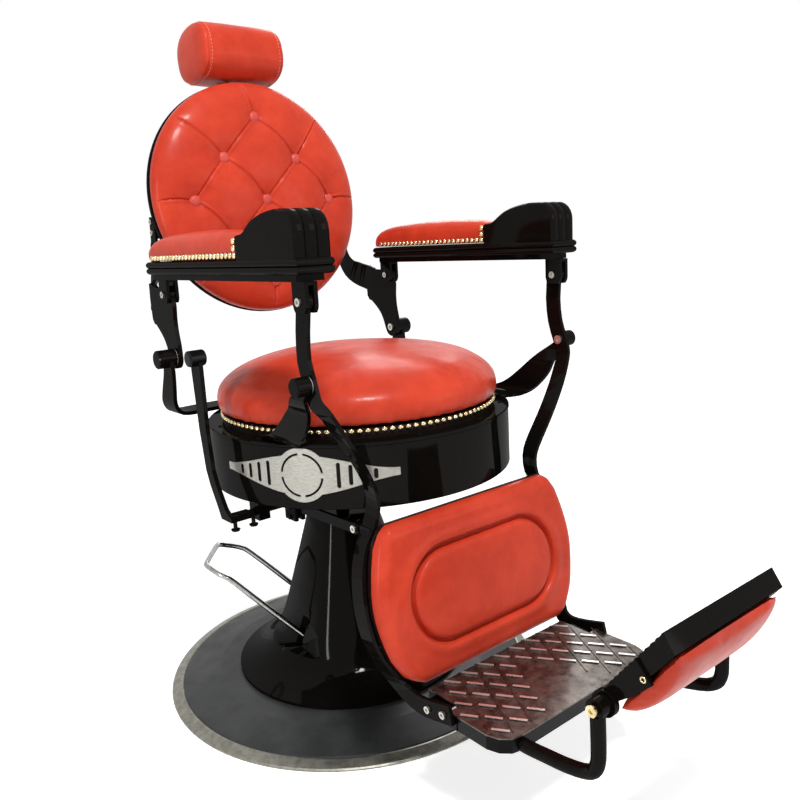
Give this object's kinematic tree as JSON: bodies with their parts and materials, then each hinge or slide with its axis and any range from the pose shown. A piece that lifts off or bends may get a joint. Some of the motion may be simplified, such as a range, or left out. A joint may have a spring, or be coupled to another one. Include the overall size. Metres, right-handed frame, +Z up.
{
  "type": "hydraulic barber chair",
  "caption": "Pump-base barber chair: round tufted back with headrest, round seat on a drum, level armrests on a linked recline frame, leg panel, tread footplate and folding calf flap.",
  "frame": {"origin": "centre of the floor disc, on the floor", "axes": "+Z up, the sitter faces -Y, +X is the sitter's left"},
  "size_m": [0.7099, 1.1583, 1.2589],
  "materials": {
    "base_satin": "dark satin paint on cast iron",
    "trim_metal": "dull turned metal ring",
    "gloss_black": "gloss black enamel",
    "satin_black": "satin black",
    "steel": "plain machined steel",
    "chrome": "polished chrome",
    "brass": "domed polished brass",
    "badge_metal": "pierced plain plate",
    "red_leather": "smooth semi-gloss red hide",
    "board_wood": "black-stained plywood",
    "shell_black": "moulded gloss black shell",
    "knob_black": "black knob",
    "nylon": "nylon washer",
    "tread_metal": "dark plated tread",
    "rubber": "black rubber"
  },
  "bodies": {
    "base": {"base_disc": "base_satin", "base_trim_ring": "trim_metal", "base_bolts": "steel", "pump_cover": "gloss_black", "pump_cylinder": "satin_black", "pedal_axle": "steel"},
    "pedal": {"pedal_hub": "satin_black", "pedal_loop": "chrome"},
    "lift": {"piston": "chrome"},
    "seat": {"swivel_bearing": "brass", "seat_frame": "satin_black", "seat_drum": "gloss_black", "drum_top_ring": "gloss_black", "seat_screws": "steel", "seat_board": "board_wood", "seat_cushion": "red_leather", "seat_nails": "brass", "drum_badge": "badge_metal", "front_bracket_left": "gloss_black", "front_bracket_right": "gloss_black", "rear_bracket_left": "gloss_black", "rear_bracket_right": "gloss_black", "pivot_pins": "steel", "pivot_washers": "nylon", "lever_bracket": "gloss_black", "lock_clamp": "satin_black"},
    "recline_lever": {"recline_lever": "gloss_black", "lever_knob": "knob_black"},
    "backrest": {"rear_plate_left": "gloss_black", "rear_plate_right": "gloss_black", "back_shell": "shell_black", "back_cushion": "red_leather", "back_buttons": "red_leather", "back_bolts": "steel", "headrest_socket": "gloss_black"},
    "headrest": {"headrest_post": "chrome", "headrest_cushion": "red_leather"},
    "arm_left": {"armrest_left": "gloss_black", "arm_pad_left": "red_leather", "arm_nails_left": "brass", "arm_clevises_left": "gloss_black", "arm_pins_left": "steel"},
    "arm_right": {"armrest_right": "gloss_black", "arm_pad_right": "red_leather", "arm_nails_right": "brass", "arm_clevises_right": "gloss_black", "arm_pins_right": "steel"},
    "footrest": {"front_strap_left": "gloss_black", "front_strap_right": "gloss_black", "kick_board": "board_wood", "kick_cushion": "red_leather", "footplate": "tread_metal", "footrest_bolts": "steel", "foot_bumpers": "rubber", "flap_arm_left": "gloss_black", "flap_arm_right": "gloss_black"},
    "lock_link": {"lock_bar": "gloss_black"},
    "foot_flap": {"flap_frame": "gloss_black", "flap_cushion": "red_leather", "flap_pins": "brass"}
  },
  "joints": [
    {"name": "pedal_press", "type": "hinge", "parent": "base", "child": "pedal", "pos_m": [-0.04818, 0.03902, 0.075], "axis": [-0.6293, -0.7771, 0], "range_deg": [0, 18], "stiffness_Nm_per_rad": 6, "springref_deg": -20.05},
    {"name": "lift_slide", "type": "slide", "parent": "base", "child": "lift", "axis": [0, 0, 1], "range_m": [0, 0.15]},
    {"name": "seat_swivel", "type": "hinge", "parent": "lift", "child": "seat", "pos_m": [0, 0, 0.45], "axis": [0, 0, 1], "continuous": true},
    {"name": "lever_throw", "type": "hinge", "parent": "seat", "child": "recline_lever", "pos_m": [-0.3, -0.125, 0.409], "axis": [1, 0, 0], "range_deg": [-15, 15]},
    {"name": "back_recline", "type": "hinge", "parent": "seat", "child": "backrest", "pos_m": [0, 0.126, 0.64], "axis": [-1, 0, 0], "range_deg": [0, 35]},
    {"name": "headrest_slide", "type": "slide", "parent": "backrest", "child": "headrest", "axis": [0, 0.1115, 0.9938], "range_m": [0, 0.08]},
    {"name": "arm_left_level", "type": "hinge", "parent": "backrest", "child": "arm_left", "pos_m": [0.25, 0.128, 0.753], "axis": [-1, 0, 0], "range_deg": [-35, 0]},
    {"name": "arm_right_level", "type": "hinge", "parent": "backrest", "child": "arm_right", "pos_m": [-0.25, 0.128, 0.753], "axis": [-1, 0, 0], "range_deg": [-35, 0]},
    {"name": "footrest_swing", "type": "hinge", "parent": "seat", "child": "footrest", "pos_m": [0, -0.33, 0.64], "axis": [-1, 0, 0], "range_deg": [0, 35]},
    {"name": "link_level", "type": "hinge", "parent": "footrest", "child": "lock_link", "pos_m": [-0.18, -0.3, 0.405], "axis": [-1, 0, 0], "range_deg": [-35, 0]},
    {"name": "flap_flip", "type": "hinge", "parent": "footrest", "child": "foot_flap", "pos_m": [0, -0.712, 0.277], "axis": [-1, 0, 0], "range_deg": [0, 128]}
  ],
  "couplings": [
    {"joint": "arm_left_level", "follows": "back_recline", "ratio": -1},
    {"joint": "arm_right_level", "follows": "back_recline", "ratio": -1},
    {"joint": "footrest_swing", "follows": "back_recline", "ratio": 1},
    {"joint": "link_level", "follows": "back_recline", "ratio": -0.93}
  ]
}
